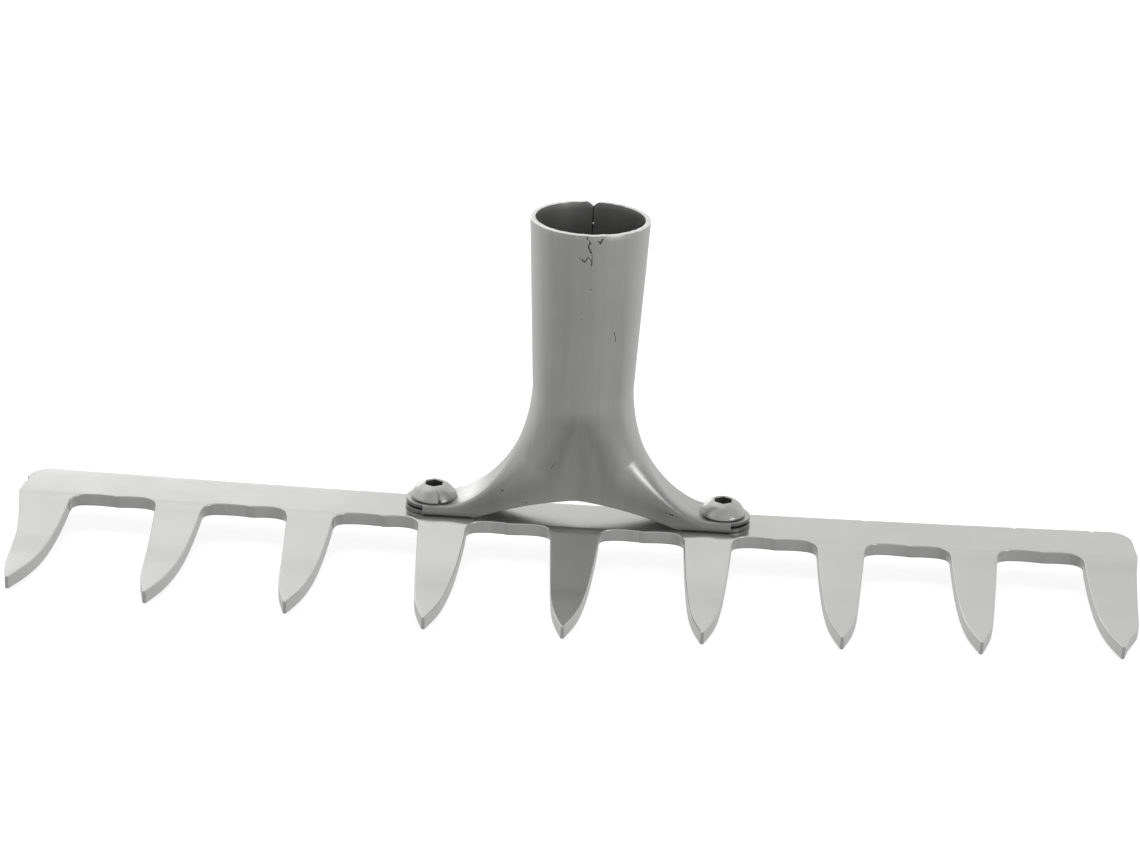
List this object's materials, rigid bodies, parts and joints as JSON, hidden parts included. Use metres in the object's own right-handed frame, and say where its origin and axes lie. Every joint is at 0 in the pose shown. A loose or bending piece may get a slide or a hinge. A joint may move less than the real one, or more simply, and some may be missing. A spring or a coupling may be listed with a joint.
{
  "type": "garden rake head",
  "caption": "Flat steel rake head: a comb plate with pointed, down-curved teeth and a tapered handle socket bolted on through two flat ears.",
  "frame": {"origin": "centre of the handle socket's mouth", "axes": "+Z out of the socket's mouth, X along the comb, -Y towards the points of the teeth"},
  "size_m": [0.3396, 0.0787, 0.106],
  "materials": {
    "comb_steel": "rolled sheet, dull satin",
    "socket_steel": "pressed sheet, satin",
    "screw_steel": "turned, satin"
  },
  "bodies": {
    "root": {"comb": "comb_steel", "socket": "socket_steel", "left_screw": "screw_steel", "right_screw": "screw_steel"}
  },
  "joints": []
}
